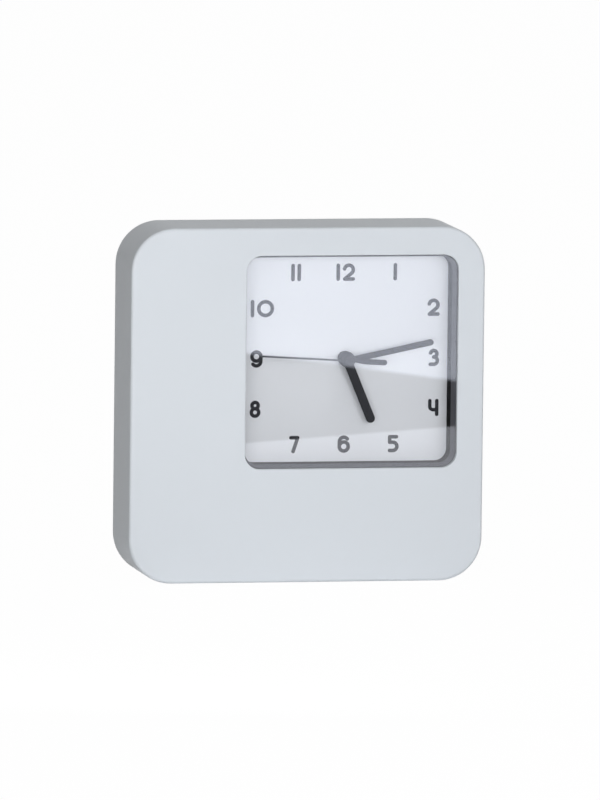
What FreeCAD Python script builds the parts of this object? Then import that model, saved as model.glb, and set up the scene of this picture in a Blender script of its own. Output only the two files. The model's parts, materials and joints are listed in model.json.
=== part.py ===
import FreeCAD, Part
import math
import os

# Square desk clock, in millimetres. +Z is up, +X is right seen from the front, and the front faces -Y.
# The origin is the middle of the clock's footprint, on the surface that it stands on.

Vector = FreeCAD.Vector
BACKWARD = Vector(0, 1, 0)

# Outer shell
case_width = 160.0
case_height = 158.5
case_depth = 40.0
case_corner_radius = 19.4
case_wall = 2.5
case_front_fillet = 1.3
case_rear_fillet = 0.6

# Window in the front wall, towards the upper right
window_width = 96.0
window_height = 95.2
window_corner_radius = 6.9
window_margin_right = 12.0
window_margin_top = 12.6
window_edge_fillet = 0.3

# Flat lens, set into the window
lens_thickness = 2.0
lens_recess = 0.1
lens_clearance = 0.1
lens_chamfer = 0.25

# Dark frame between lens and dial: a flared front part, then a straight deep part
dial_recess = 16.5
flare_depth = 7.9
flare_inset = 1.4
frame_ledge = 0.25
frame_shoulder = 1.2
frame_rear_wall = 1.0
frame_ear_thickness = 1.5
frame_fit_gap = 0.2

# Dial and printed numerals
dial_thickness = 1.0
dial_overlap = 1.0
print_thickness = 0.12
numeral_height = 7.75
numeral_stroke = 1.6
numeral_row = 38.5
numeral_side_row = 22.5
numeral_column_edge = 42.9
numeral_gap_share = 0.46

# Dial carrier with snap arms for the movement
carrier_thickness = 1.6
carrier_margin = 1.0
carrier_movement_gap = 0.4
snap_width = 10.0
snap_spacing = 22.0
snap_thickness = 1.6
snap_reach = 1.0
snap_nose = 1.5
snap_gap = 0.15

# Screws of the carrier and of the rear cover
boss_radius = 2.6
boss_gap = 0.5
ear_margin = 0.8
carrier_screw_height = 30.0
screw_shank_radius = 1.1
screw_pilot_gap = 0.05
screw_passage_gap = 0.3
screw_head_radius = 2.4
screw_head_height = 1.3
screw_slot_width = 0.8
screw_slot_depth = 0.7
screw_slot_reach_share = 0.7
screw_head_fillet = 0.4
carrier_screw_length = 10.0
cover_boss_radius = 3.0
cover_boss_inset = 3.6
cover_screw_length = 12.0
cover_counterbore_gap = 0.3
cover_counterbore_floor = 1.2

# Rear cover
cover_thickness = 2.5
cover_recess = 0.6
cover_clearance = 0.3
cover_edge_fillet = 0.4
collar_clearance = 3.6
collar_wall = 1.6
collar_length = 4.0
collar_corner_radius = 4.0
keyhole_head_radius = 4.5
keyhole_slot_radius = 2.3
keyhole_slot_travel = 8.0
keyhole_gap_above_collar = 4.0

# Quartz movement: outer box, measured from its front face backwards
movement_size = 56.0
movement_depth = 16.5
movement_corner_radius = 2.0
movement_wall = 1.2
bay_floor = 0.8
bay_clearance = 0.3
bay_wall = 1.2
bay_notch_width = 20.0
bay_notch_depth = 6.0
mark_thickness = 0.3
mark_length = 4.0
mark_stroke = 0.9
mark_inset = 5.0

# Bush and tubes, from the middle outwards
running_gap = 0.06
fit_gap = 0.02
second_arbor_radius = 0.45
minute_tube_radius = 1.55
hour_tube_radius = 2.5
bush_radius = 3.1
bush_height = 1.0
dial_hole_gap = 0.2

# Hands, heights above the dial's front
hand_thickness = 0.6
hour_hand_height = 4.6
hour_hand_reach = 28.7
hour_hand_width = 4.0
hour_boss_radius = 3.5
hour_collar_radius = 3.1
hour_collar_length = 2.0
minute_hand_height = 9.0
minute_hand_reach = 37.8
minute_hand_width = 2.7
minute_boss_radius = 2.9
minute_collar_radius = 2.2
minute_collar_gap = 0.5
second_hand_height = 11.2
second_hand_thickness = 0.4
second_hand_reach = 40.0
second_needle_width = 0.8
second_cap_radius = 2.1
second_cap_height = 1.2
second_cap_fillet = 0.5
second_collar_radius = 0.9
second_collar_gap = 0.5
tail_reach = 15.8
tail_width = 2.4
tail_neck_width = 1.2
tail_neck_start = 2.6
tail_neck_end = 6.8

# Angles of the hands from twelve, clockwise, at rest
hour_hand_angle = 157.5
minute_hand_angle = 78.2
second_hand_angle = 273.4

# Gear train: teeth, axes around the centre, and thicknesses
rotor_teeth = 8
step_wheel_teeth = 48
step_pinion_teeth = 8
second_wheel_teeth = 40
second_pinion_teeth = 8
third_wheel_teeth = 60
third_pinion_teeth = 8
minute_wheel_teeth = 64
minute_pinion_teeth = 12
motion_wheel_teeth = 36
motion_pinion_teeth = 10
hour_wheel_teeth = 40
setting_pinion_teeth = 12
third_distance = 10.8
third_bearing = 20.0
motion_distance = 8.4
motion_bearing = 180.0
setting_bearing = 150.0
step_distance = 8.4
step_bearing = 110.0
rotor_distance = 7.0
rotor_bearing = 60.0
gear_thickness = 1.0
layer_gap = 0.6
pinion_overrun = 0.2
arbor_radius = 0.4
rotor_arbor_radius = 0.3
arbor_boss_radius = 1.5
arbor_boss_gap = 0.15
pivot_depth = 1.0
motion_post_radius = 0.8

# Tooth form, in modules and in shares of the pitch
addendum_share = 0.9
dedendum_share = 1.2
shoulder_share = 0.6
tooth_share = 0.42
tooth_root_share = 0.48
tooth_shoulder_share = 0.31
tooth_tip_share = 0.12

# Middle plate of the movement and its pillars
plate_thickness = 1.0
plate_left = 18.6
plate_right = 16.6
plate_bottom = 9.8
plate_top = 12.4
pillar_radius = 1.2
pillar_inset = 1.6
plate_corner_radius = 1.4
plate_hole_gap = 0.4

# Stepping motor
magnet_radius = 2.6
magnet_length = 2.6
magnet_lead = 0.8
stator_gap = 0.5
stator_thickness = 0.8
stator_half_width = 12.5
stator_arm_width = 3.2
stator_below = 3.7
stator_above = 4.3
coil_rise = 8.3
coil_radius = 3.0
coil_flange_radius = 3.4
coil_flange_thickness = 0.8
coil_length = 17.4
coil_core_width = 2.4
coil_tube_wall = 0.5

# Circuit board
board_thickness = 0.8
board_lift = 1.4
board_bottom = 17.6
board_edge_gap = 0.4
board_peg_offset = 22.0
chip_radius = 3.6
chip_height = 0.9
chip_fillet = 0.4
chip_offset = 8.0
crystal_radius = 1.0
crystal_length = 6.0
crystal_offset = 9.0
board_part_gap = 0.1

# AA cell and its contacts
cell_radius = 7.0
cell_length = 50.2
cell_nub_radius = 2.7
cell_nub_length = 1.3
cell_rim_fillet = 0.6
cell_end_recess = 0.9
sleeve_thickness = 0.15
contact_thickness = 0.4
contact_width = 8.0
contact_gap = 0.05
contact_height = 11.0
contact_tail_width = 3.0
contact_slot_gap = 0.15
leaf_start_share = 0.35

# Setting knob at the back
setting_shaft_radius = 1.2
setting_knob_radius = 5.5
setting_knob_length = 3.2
setting_knob_lift = 0.6
setting_knob_flutes = 18
setting_flute_radius = 0.5
setting_knob_fillet = 0.5

cut_overrun = 1.0


def derived_places():
    """Places that follow from the driving dimensions."""
    place = {}
    place["front"] = -case_depth / 2
    place["rear"] = case_depth / 2
    place["dial_x"] = case_width / 2 - window_margin_right - window_width / 2
    place["dial_z"] = case_height - window_margin_top - window_height / 2
    place["front_wall_back"] = place["front"] + case_wall
    place["lens_front"] = place["front"] + lens_recess
    place["lens_back"] = place["lens_front"] + lens_thickness
    place["dial_front"] = place["front"] + dial_recess
    place["dial_back"] = place["dial_front"] + dial_thickness
    place["carrier_back"] = place["dial_back"] + carrier_thickness
    place["movement_back"] = place["dial_back"] + movement_depth
    place["cover_back"] = place["rear"] - cover_recess
    place["cover_front"] = place["cover_back"] - cover_thickness
    return place


PLACE = derived_places()


def derived_layers():
    """Depths inside the movement, from its front face backwards, one wheel behind the other."""
    step = gear_thickness + layer_gap
    layer = {}
    layer["hour"] = movement_wall + layer_gap
    layer["motion"] = layer["hour"] + step
    layer["minute"] = layer["motion"] + step
    layer["plate"] = layer["minute"] + step
    layer["third"] = layer["plate"] + plate_thickness + layer_gap
    layer["second"] = layer["third"] + step
    layer["step"] = layer["second"] + step
    layer["stator"] = layer["motion"] + pinion_overrun
    layer["magnet"] = layer["stator"] - magnet_lead
    layer["coil"] = layer["stator"] + stator_thickness + stator_thickness / 2
    layer["board"] = layer["coil"] + coil_flange_radius + board_lift
    layer["rear_wall"] = movement_depth - movement_wall
    return layer


LAYER = derived_layers()


def around(centre, distance, bearing):
    """Point at a distance and a bearing in degrees from another, in the plane of the dial."""
    angle = math.radians(bearing)
    return (centre[0] + distance * math.cos(angle), centre[1] + distance * math.sin(angle))


CENTRE = (0.0, 0.0)
THIRD = around(CENTRE, third_distance, third_bearing)
MOTION = around(CENTRE, motion_distance, motion_bearing)
SETTING = around(MOTION, motion_distance, setting_bearing)
STEP = around(CENTRE, step_distance, step_bearing)
ROTOR = around(STEP, rotor_distance, rotor_bearing)
COIL = (ROTOR[0], ROTOR[1] + coil_rise)

half_movement = movement_size / 2
bay_bottom = movement_wall - half_movement
bay_height = 2 * (cell_radius + bay_clearance)
bay_top = bay_bottom + bay_height
train_bottom = bay_top + bay_wall
inner_half = half_movement - movement_wall
CELL = (0.0, bay_bottom + bay_height / 2)
cell_level = movement_wall + bay_floor + bay_clearance + cell_radius
dial_width = window_width - 2 * flare_inset + 2 * (dial_overlap + flare_inset)
dial_height = window_height - 2 * flare_inset + 2 * (dial_overlap + flare_inset)
pocket_width = dial_width + 2 * frame_fit_gap
pocket_height = dial_height + 2 * frame_fit_gap
frame_width = pocket_width + 2 * frame_rear_wall
frame_height = pocket_height + 2 * frame_rear_wall
carrier_screw_offset = frame_width / 2 + boss_gap + boss_radius
ear_radius = boss_radius + ear_margin


def box(x0, x1, y0, y1, z0, z1):
    """Block between two corners."""
    return Part.makeBox(x1 - x0, y1 - y0, z1 - z0, Vector(x0, y0, z0))


def rod(radius, y0, y1, x=0.0, z=0.0):
    """Round bar along the clock's depth."""
    return Part.makeCylinder(radius, y1 - y0, Vector(x, y0, z), BACKWARD)


def ring(radius, bore, y0, y1, x=0.0, z=0.0):
    """Tube along the clock's depth."""
    return rod(radius, y0, y1, x, z).cut(rod(bore, y0 - cut_overrun, y1 + cut_overrun, x, z))


def rounded_outline(width, height, radius, y, x=0.0, z=0.0):
    """Closed rectangle with round corners, in a plane parallel to the dial."""
    edges = []
    last = None
    first = None
    for turn in range(4):
        side_x = (1, -1, -1, 1)[turn]
        side_z = (1, 1, -1, -1)[turn]
        middle_x = x + side_x * (width / 2 - radius)
        middle_z = z + side_z * (height / 2 - radius)
        points = []
        for part_turn in range(3):
            angle = math.radians(90 * turn + 45 * part_turn)
            points.append(Vector(middle_x + radius * math.cos(angle), y, middle_z + radius * math.sin(angle)))
        if last is not None:
            edges.append(Part.LineSegment(last, points[0]).toShape())
        else:
            first = points[0]
        edges.append(Part.Arc(points[0], points[1], points[2]).toShape())
        last = points[2]
    edges.append(Part.LineSegment(last, first).toShape())
    return Part.Wire(edges)


def rounded_block(width, height, radius, y0, y1, x=0.0, z=0.0):
    """Plate or block with round corners, along the clock's depth."""
    outline = rounded_outline(width, height, radius, y0, x, z)
    return Part.Face(outline).extrude(Vector(0, y1 - y0, 0))


def outline_block(points, y0, y1):
    """Block from a list of (x, z) corners."""
    corners = [Vector(x, y0, z) for x, z in points]
    corners.append(corners[0])
    return Part.Face(Part.makePolygon(corners)).extrude(Vector(0, y1 - y0, 0))


def bar(start, end, width, y0, y1):
    """Flat bar with round ends between two (x, z) points."""
    radius = width / 2
    length = math.hypot(end[0] - start[0], end[1] - start[1])
    along = ((end[0] - start[0]) / length, (end[1] - start[1]) / length)
    across = (-along[1] * radius, along[0] * radius)
    corners = [
        Vector(start[0] + across[0], y0, start[1] + across[1]),
        Vector(end[0] + across[0], y0, end[1] + across[1]),
        Vector(end[0] - across[0], y0, end[1] - across[1]),
        Vector(start[0] - across[0], y0, start[1] - across[1]),
    ]
    far = Vector(end[0] + along[0] * radius, y0, end[1] + along[1] * radius)
    near = Vector(start[0] - along[0] * radius, y0, start[1] - along[1] * radius)
    edges = [
        Part.LineSegment(corners[0], corners[1]).toShape(),
        Part.Arc(corners[1], far, corners[2]).toShape(),
        Part.LineSegment(corners[2], corners[3]).toShape(),
        Part.Arc(corners[3], near, corners[0]).toShape(),
    ]
    return Part.Face(Part.Wire(edges)).extrude(Vector(0, y1 - y0, 0))


def arc_bar(middle, radius, start_angle, end_angle, width, y0, y1):
    """Flat curved bar with round ends, along an arc of a circle. Angles are in degrees."""
    inner = radius - width / 2
    outer = radius + width / 2

    def point(distance, angle):
        turned = math.radians(angle)
        return Vector(middle[0] + distance * math.cos(turned), y0, middle[1] + distance * math.sin(turned))

    half_way = (start_angle + end_angle) / 2
    turn = math.copysign(90, end_angle - start_angle)
    end_middle = point(radius, end_angle)
    start_middle = point(radius, start_angle)
    end_cap = around((end_middle.x, end_middle.z), width / 2, end_angle + turn)
    start_cap = around((start_middle.x, start_middle.z), width / 2, start_angle - turn)
    end_tip = Vector(end_cap[0], y0, end_cap[1])
    start_tip = Vector(start_cap[0], y0, start_cap[1])
    edges = [
        Part.Arc(point(outer, start_angle), point(outer, half_way), point(outer, end_angle)).toShape(),
        Part.Arc(point(outer, end_angle), end_tip, point(inner, end_angle)).toShape(),
        Part.Arc(point(inner, end_angle), point(inner, half_way), point(inner, start_angle)).toShape(),
        Part.Arc(point(inner, start_angle), start_tip, point(outer, start_angle)).toShape(),
    ]
    return Part.Face(Part.Wire(edges)).extrude(Vector(0, y1 - y0, 0))


def joined(shapes):
    """One solid from several that overlap or touch."""
    whole = shapes[0]
    if len(shapes) > 1:
        whole = shapes[0].multiFuse(shapes[1:])
    return whole.removeSplitter()


def without(shape, tools):
    """A shape with several others cut from it."""
    for tool in tools:
        shape = shape.cut(tool)
    return shape


def edges_at_depth(shape, y):
    """Edges that lie in one plane parallel to the dial."""
    near = fit_gap / 4
    found = []
    for edge in shape.Edges:
        bounds = edge.BoundBox
        if abs(bounds.YMin - y) < near and abs(bounds.YMax - y) < near:
            found.append(edge)
    return found


def to_dial(shape):
    """Moves a shape that was made around the dial's axis to its place in the clock."""
    shape.translate(Vector(PLACE["dial_x"], 0, PLACE["dial_z"]))
    return shape


def in_movement(shape):
    """Moves a shape that was made from the movement's front face backwards to its place."""
    shape.translate(Vector(PLACE["dial_x"], PLACE["dial_back"], PLACE["dial_z"]))
    return shape


def corner_points():
    """Places of the rear cover's screws, on the diagonals of the round case corners."""
    reach = case_corner_radius - case_wall - cover_boss_inset
    side_x = case_width / 2 - case_corner_radius + reach * math.sqrt(1 / 2)
    side_z = case_height / 2 - case_corner_radius + reach * math.sqrt(1 / 2)
    middle = case_height / 2
    return [(sx * side_x, middle + sz * side_z) for sx in (-1, 1) for sz in (-1, 1)]


def carrier_points():
    """Places of the carrier's screws, beside the dial, in the clock's own frame."""
    points = []
    for side_x in (-1, 1):
        for side_z in (-1, 1):
            x = PLACE["dial_x"] + side_x * carrier_screw_offset
            z = PLACE["dial_z"] + side_z * carrier_screw_height
            points.append((x, z))
    return points


# Shell, lens and frame

def make_front_case():
    middle = case_height / 2
    front = PLACE["front"]
    shell = rounded_block(case_width, case_height, case_corner_radius, front, PLACE["rear"], 0.0, middle)
    shell = shell.makeFillet(case_front_fillet, edges_at_depth(shell, front))
    shell = shell.makeFillet(case_rear_fillet, edges_at_depth(shell, PLACE["rear"]))
    inner_width = case_width - 2 * case_wall
    inner_height = case_height - 2 * case_wall
    inner_radius = case_corner_radius - case_wall
    inner_end = PLACE["rear"] + cut_overrun
    hollow = rounded_block(
        inner_width, inner_height, inner_radius, PLACE["front_wall_back"], inner_end, 0.0, middle,
    )
    shell = shell.cut(hollow)
    opening = rounded_block(
        window_width, window_height, window_corner_radius,
        front - cut_overrun, PLACE["front_wall_back"] + cut_overrun, PLACE["dial_x"], PLACE["dial_z"],
    )
    shell = shell.cut(opening)
    left_limit = PLACE["dial_x"] - window_width / 2 - cut_overrun
    right_limit = PLACE["dial_x"] + window_width / 2 + cut_overrun
    window_edges = []
    for edge in edges_at_depth(shell, front):
        if edge.BoundBox.XMin > left_limit and edge.BoundBox.XMax < right_limit:
            window_edges.append(edge)
    shell = shell.makeFillet(window_edge_fillet, window_edges)
    posts = []
    holes = []
    pilot_radius = screw_shank_radius + screw_pilot_gap
    post_start = PLACE["front_wall_back"] - case_wall / 2
    for x, z in corner_points():
        posts.append(rod(cover_boss_radius, post_start, PLACE["cover_front"], x, z))
        hole_start = PLACE["cover_front"] - cover_screw_length
        holes.append(rod(pilot_radius, hole_start, PLACE["cover_front"] + cut_overrun, x, z))
    boss_end = PLACE["dial_back"] - frame_ear_thickness
    for x, z in carrier_points():
        posts.append(rod(boss_radius, post_start, boss_end, x, z))
        holes.append(rod(pilot_radius, boss_end - carrier_screw_length, boss_end + cut_overrun, x, z))
    shell = joined([shell] + posts)
    return without(shell, holes)


def make_lens():
    width = window_width - 2 * lens_clearance
    height = window_height - 2 * lens_clearance
    radius = window_corner_radius - lens_clearance
    lens = rounded_block(width, height, radius, PLACE["lens_front"], PLACE["lens_back"])
    lens = lens.makeChamfer(lens_chamfer, edges_at_depth(lens, PLACE["lens_front"]))
    return to_dial(lens)


def make_ears(radius, y0, y1):
    """Round ears with bridges to the frame, at the carrier's screws, around the dial's axis."""
    ears = []
    for side_x in (-1, 1):
        for side_z in (-1, 1):
            x = side_x * carrier_screw_offset
            z = side_z * carrier_screw_height
            inner = side_x * (frame_width / 2 - frame_rear_wall)
            ears.append(rod(radius, y0, y1, x, z))
            ears.append(box(min(x, inner), max(x, inner), y0, y1, z - radius, z + radius))
    return ears


def ear_holes(y0, y1):
    """Screw passages through the ears, around the dial's axis."""
    radius = screw_shank_radius + screw_passage_gap
    holes = []
    for side_x in (-1, 1):
        for side_z in (-1, 1):
            x = side_x * carrier_screw_offset
            z = side_z * carrier_screw_height
            holes.append(rod(radius, y0 - cut_overrun, y1 + cut_overrun, x, z))
    return holes


def make_dial_frame():
    lip_width = window_width - 2 * lens_clearance
    lip_height = window_height - 2 * lens_clearance
    lip_radius = window_corner_radius - lens_clearance
    shoulder = PLACE["front_wall_back"]
    dial_back = PLACE["dial_back"]
    outer_radius = window_corner_radius + frame_shoulder
    lip = rounded_block(lip_width, lip_height, lip_radius, PLACE["lens_back"], shoulder + cut_overrun)
    body = rounded_block(frame_width, frame_height, outer_radius, shoulder, dial_back)
    ears = make_ears(ear_radius, dial_back - frame_ear_thickness, dial_back)
    frame = joined([lip, body] + ears)
    mouth = rounded_outline(
        window_width - 2 * frame_ledge, window_height - 2 * frame_ledge,
        window_corner_radius - frame_ledge, PLACE["lens_back"],
    )
    throat_width = window_width - 2 * flare_inset
    throat_height = window_height - 2 * flare_inset
    throat_radius = window_corner_radius - flare_inset
    throat_front = PLACE["front"] + flare_depth
    throat = rounded_outline(throat_width, throat_height, throat_radius, throat_front)
    flare = Part.makeLoft([mouth, throat], True, True)
    deep = rounded_block(throat_width, throat_height, throat_radius, throat_front, dial_back + cut_overrun)
    pocket_radius = throat_radius + dial_overlap
    pocket_start = PLACE["dial_front"]
    pocket = rounded_block(pocket_width, pocket_height, pocket_radius, pocket_start, dial_back + cut_overrun)
    frame = without(frame, [flare, deep, pocket] + ear_holes(dial_back - frame_ear_thickness, dial_back))
    return to_dial(frame)


# Dial and numerals

def make_dial():
    radius = window_corner_radius - flare_inset + dial_overlap - frame_fit_gap
    plate = rounded_block(dial_width, dial_height, radius, PLACE["dial_front"], PLACE["dial_back"])
    hole_radius = bush_radius + dial_hole_gap
    hole = rod(hole_radius, PLACE["dial_front"] - cut_overrun, PLACE["dial_back"] + cut_overrun)
    return to_dial(plate.cut(hole))


# Strokes of the numerals in shares of the height between the outermost stroke centres. A line is
# ("line", x0, z0, x1, z1), an arc is ("arc", x, z, radius, from degrees, to degrees), and a circle is
# ("circle", x, z, radius).
numeral_shares = {
    "0": (1.0, [("circle", 0.5, 0.5, 0.5)]),
    "1": (0.0, [("line", 0.0, 0.0, 0.0, 1.0)]),
    "2": (0.65, [
        ("arc", 0.325, 0.675, 0.325, 168, -50),
        ("line", 0.534, 0.426, 0.02, 0.0),
        ("line", 0.02, 0.0, 0.65, 0.0),
    ]),
    "3": (0.52, [
        ("arc", 0.245, 0.765, 0.235, 165, -90),
        ("arc", 0.255, 0.265, 0.265, 90, -90),
        ("line", 0.255, 0.0, 0.0, 0.0),
    ]),
    "4": (0.52, [
        ("line", 0.0, 1.0, 0.0, 0.59),
        ("arc", 0.25, 0.59, 0.25, 180, 270),
        ("line", 0.25, 0.34, 0.52, 0.34),
        ("line", 0.52, 0.0, 0.52, 1.0),
    ]),
    "5": (0.54, [
        ("line", 0.0, 1.0, 0.5, 1.0),
        ("line", 0.0, 1.0, 0.0, 0.6),
        ("line", 0.0, 0.6, 0.24, 0.6),
        ("arc", 0.24, 0.3, 0.3, 90, -90),
        ("line", 0.24, 0.0, 0.0, 0.0),
    ]),
    "6": (0.656, [
        ("circle", 0.328, 0.328, 0.328),
        ("line", 0.0, 0.328, 0.0, 0.672),
        ("arc", 0.328, 0.672, 0.328, 180, 38),
    ]),
    "7": (0.5, [("line", 0.0, 1.0, 0.5, 1.0), ("line", 0.5, 1.0, 0.17, 0.0)]),
    "8": (0.54, [("circle", 0.27, 0.27, 0.27), ("circle", 0.27, 0.77, 0.23)]),
    "9": (0.656, [
        ("circle", 0.328, 0.672, 0.328),
        ("line", 0.656, 0.672, 0.656, 0.328),
        ("arc", 0.328, 0.328, 0.328, 0, -142),
    ]),
}


def make_digit(digit, left, bottom, y0, y1):
    """One printed digit. left and bottom are stroke centres."""
    scale = numeral_height - numeral_stroke
    pieces = []
    for stroke in numeral_shares[digit][1]:
        x = left + stroke[1] * scale
        z = bottom + stroke[2] * scale
        if stroke[0] == "line":
            end = (left + stroke[3] * scale, bottom + stroke[4] * scale)
            pieces.append(bar((x, z), end, numeral_stroke, y0, y1))
        elif stroke[0] == "arc":
            pieces.append(arc_bar((x, z), stroke[3] * scale, stroke[4], stroke[5], numeral_stroke, y0, y1))
        else:
            outer = stroke[3] * scale + numeral_stroke / 2
            pieces.append(ring(outer, outer - numeral_stroke, y0, y1, x, z))
    return joined(pieces)


def numeral_width(text):
    """Width of a numeral between its outermost stroke centres."""
    scale = numeral_height - numeral_stroke
    return scale * (sum(numeral_shares[digit][0] for digit in text) + numeral_gap_share * (len(text) - 1))


def make_numeral(text, anchor_x, middle_z, side, y0, y1):
    """A numeral set by its left edge (-1), its middle (0) or its right edge (1)."""
    scale = numeral_height - numeral_stroke
    width = numeral_width(text)
    if side < 0:
        left = anchor_x + numeral_stroke / 2
    elif side > 0:
        left = anchor_x - numeral_stroke / 2 - width
    else:
        left = anchor_x - width / 2
    pieces = []
    for digit in text:
        pieces.append(make_digit(digit, left, middle_z - scale / 2, y0, y1))
        left += scale * (numeral_shares[digit][0] + numeral_gap_share)
    return pieces


def make_numerals():
    row = numeral_row
    side_row = numeral_side_row
    edge = numeral_column_edge
    places = [
        ("12", 0.0, row, 0), ("1", side_row, row, 0), ("2", edge, side_row, 1), ("3", edge, 0.0, 1),
        ("4", edge, -side_row, 1), ("5", side_row, -row, 0), ("6", 0.0, -row, 0), ("7", -side_row, -row, 0),
        ("8", -edge, -side_row, -1), ("9", -edge, 0.0, -1), ("10", -edge, side_row, -1),
        ("11", -side_row, row, 0),
    ]
    y1 = PLACE["dial_front"]
    solids = []
    for text, x, z, side in places:
        solids.extend(make_numeral(text, x, z, side, y1 - print_thickness, y1))
    return to_dial(Part.makeCompound(solids))


# Carrier, screws and rear cover

def make_dial_carrier():
    y0 = PLACE["dial_back"]
    y1 = PLACE["carrier_back"]
    width = frame_width - 2 * carrier_margin
    height = frame_height - 2 * carrier_margin
    plate = rounded_block(width, height, window_corner_radius, y0, y1)
    opening_size = movement_size + 2 * carrier_movement_gap
    opening = rounded_block(
        opening_size, opening_size, movement_corner_radius, y0 - cut_overrun, y1 + cut_overrun,
    )
    plate = joined([plate] + make_ears(ear_radius, y0, y1))
    plate = without(plate, [opening] + ear_holes(y0, y1))
    arms = []
    arm_inner = opening_size / 2
    nose_front = PLACE["movement_back"] + snap_gap
    for side in (-1, 1):
        for height_side in (-1, 1):
            middle = height_side * snap_spacing / 2
            near = side * arm_inner
            far = side * (arm_inner + snap_thickness)
            nose = side * (arm_inner - carrier_movement_gap - snap_reach)
            arm = box(
                min(near, far), max(near, far), y0, nose_front + snap_nose,
                middle - snap_width / 2, middle + snap_width / 2,
            )
            corners = [
                (near, nose_front), (nose, nose_front), (near, nose_front + snap_nose),
            ]
            arms.append(arm)
            arms.append(snap_wedge(corners, middle - snap_width / 2, middle + snap_width / 2))
    return to_dial(joined([plate] + arms))


def snap_wedge(corners, z0, z1):
    """Wedge-shaped nose of a snap arm, from (x, y) corners."""
    points = [Vector(x, y, z0) for x, y in corners]
    points.append(points[0])
    return Part.Face(Part.makePolygon(points)).extrude(Vector(0, 0, z1 - z0))


def make_screw(x, z, seat, length):
    """Cross-slotted screw whose head seats at a depth and whose shank points to the front."""
    head = rod(screw_head_radius, seat, seat + screw_head_height, x, z)
    head = head.makeFillet(screw_head_fillet, edges_at_depth(head, seat + screw_head_height))
    shank = rod(screw_shank_radius, seat - length, seat, x, z)
    shank = shank.makeChamfer(screw_shank_radius / 2, edges_at_depth(shank, seat - length))
    screw = joined([head, shank])
    slot_start = seat + screw_head_height - screw_slot_depth
    slot_end = seat + screw_head_height + cut_overrun
    arm = screw_head_radius * screw_slot_reach_share
    half = screw_slot_width / 2
    across = box(x - arm, x + arm, slot_start, slot_end, z - half, z + half)
    upright = box(x - half, x + half, slot_start, slot_end, z - arm, z + arm)
    return without(screw, [across, upright])


def make_carrier_screws():
    seat = PLACE["carrier_back"]
    length = carrier_screw_length + carrier_thickness
    return Part.makeCompound([make_screw(x, z, seat, length) for x, z in carrier_points()])


def make_cover_screws():
    seat = PLACE["cover_front"] + cover_counterbore_floor
    length = cover_screw_length
    return Part.makeCompound([make_screw(x, z, seat, length) for x, z in corner_points()])


def make_rear_cover():
    middle = case_height / 2
    y0 = PLACE["cover_front"]
    y1 = PLACE["cover_back"]
    width = case_width - 2 * (case_wall + cover_clearance)
    height = case_height - 2 * (case_wall + cover_clearance)
    radius = case_corner_radius - case_wall - cover_clearance
    plate = rounded_block(width, height, radius, y0, y1, 0.0, middle)
    plate = plate.makeFillet(cover_edge_fillet, edges_at_depth(plate, y1))
    opening_size = movement_size + 2 * collar_clearance
    collar_size = opening_size + 2 * collar_wall
    dial_x = PLACE["dial_x"]
    dial_z = PLACE["dial_z"]
    collar = rounded_block(
        collar_size, collar_size, collar_corner_radius + collar_wall,
        y0 - collar_length, y0 + cover_thickness / 2, dial_x, dial_z,
    )
    opening = rounded_block(
        opening_size, opening_size, collar_corner_radius, y0 - collar_length - cut_overrun, y1 + cut_overrun,
        dial_x, dial_z,
    )
    head_z = dial_z + collar_size / 2 + keyhole_gap_above_collar + keyhole_head_radius
    slot_end = (0.0, head_z + keyhole_slot_travel)
    tools = [
        opening,
        rod(keyhole_head_radius, y0 - cut_overrun, y1 + cut_overrun, 0.0, head_z),
        bar((0.0, head_z), slot_end, 2 * keyhole_slot_radius, y0 - cut_overrun, y1 + cut_overrun),
    ]
    for x, z in corner_points():
        seat = y0 + cover_counterbore_floor
        tools.append(rod(screw_shank_radius + screw_passage_gap, y0 - cut_overrun, y1, x, z))
        tools.append(rod(screw_head_radius + cover_counterbore_gap, seat, y1 + cut_overrun, x, z))
    return without(joined([plate, collar]), tools)


# Hands

def hand_direction(angle):
    """Unit step in (x, z) for an angle clockwise from twelve."""
    turned = math.radians(angle)
    return (math.sin(turned), math.cos(turned))


def make_hour_hand():
    back = PLACE["dial_front"] - hour_hand_height
    front = back - hand_thickness
    step = hand_direction(hour_hand_angle)
    tip = (step[0] * hour_hand_reach, step[1] * hour_hand_reach)
    blade = bar(CENTRE, tip, hour_hand_width, front, back)
    boss = rod(hour_boss_radius, front, back)
    collar = rod(hour_collar_radius, front, back + hour_collar_length)
    bore = rod(hour_tube_radius + fit_gap, front - cut_overrun, back + hour_collar_length + cut_overrun)
    return to_dial(joined([blade, boss, collar]).cut(bore))


def make_minute_hand():
    back = PLACE["dial_front"] - minute_hand_height
    front = back - hand_thickness
    step = hand_direction(minute_hand_angle)
    tip = (step[0] * minute_hand_reach, step[1] * minute_hand_reach)
    blade = bar(CENTRE, tip, minute_hand_width, front, back)
    boss = rod(minute_boss_radius, front, back)
    collar_back = PLACE["dial_front"] - hour_hand_height - hand_thickness - minute_collar_gap
    collar = rod(minute_collar_radius, front, collar_back)
    bore = rod(minute_tube_radius + fit_gap, front - cut_overrun, collar_back + cut_overrun)
    return to_dial(joined([blade, boss, collar]).cut(bore))


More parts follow.
